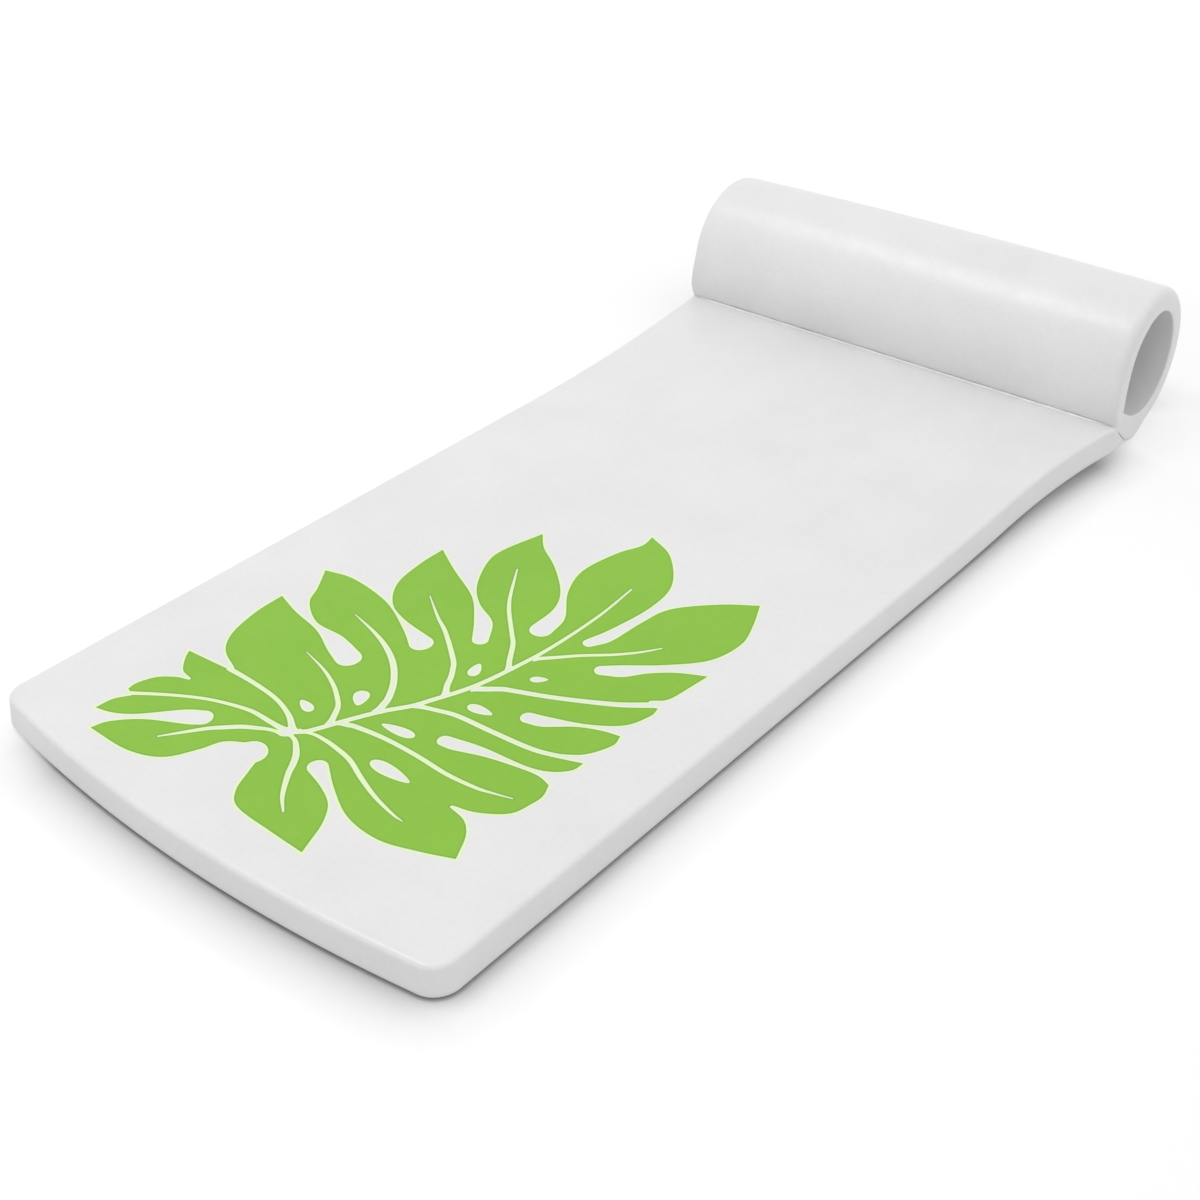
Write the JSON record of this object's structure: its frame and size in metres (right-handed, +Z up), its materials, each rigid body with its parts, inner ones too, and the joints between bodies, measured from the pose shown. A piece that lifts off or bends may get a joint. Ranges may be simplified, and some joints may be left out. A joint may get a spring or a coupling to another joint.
{
  "type": "foam pool float",
  "caption": "Flat vinyl-coated foam lounging mat with a bowed foot end, rounded edges, a hollow roll pillow across the head end and a leaf print.",
  "frame": {"origin": "on the floor under the middle of the float's overall length and width", "axes": "+X across the mat, +Y along the mat from the foot to the roll pillow, +Z up"},
  "size_m": [0.7154, 1.513, 0.2208],
  "materials": {
    "mat_foam": "closed-cell foam, matte",
    "mat_vinyl": "satin vinyl coat, finely mottled",
    "pillow_foam": "closed-cell foam, matte",
    "pillow_vinyl": "satin vinyl coat, finely mottled",
    "glue": "dried contact glue film",
    "bead_vinyl": "satin bead of vinyl coat",
    "leaf_ink": "flat green ink film"
  },
  "bodies": {
    "root": {"mat_core": "mat_foam", "mat_coat": "mat_vinyl", "pillow_core": "pillow_foam", "pillow_coat": "pillow_vinyl", "joint_glue": "glue", "crease_bead_top": "bead_vinyl", "crease_bead_under": "bead_vinyl", "leaf_print_tip": "leaf_ink", "leaf_print_base": "leaf_ink", "leaf_print_side": "leaf_ink", "leaf_print_corner": "leaf_ink"}
  },
  "joints": []
}
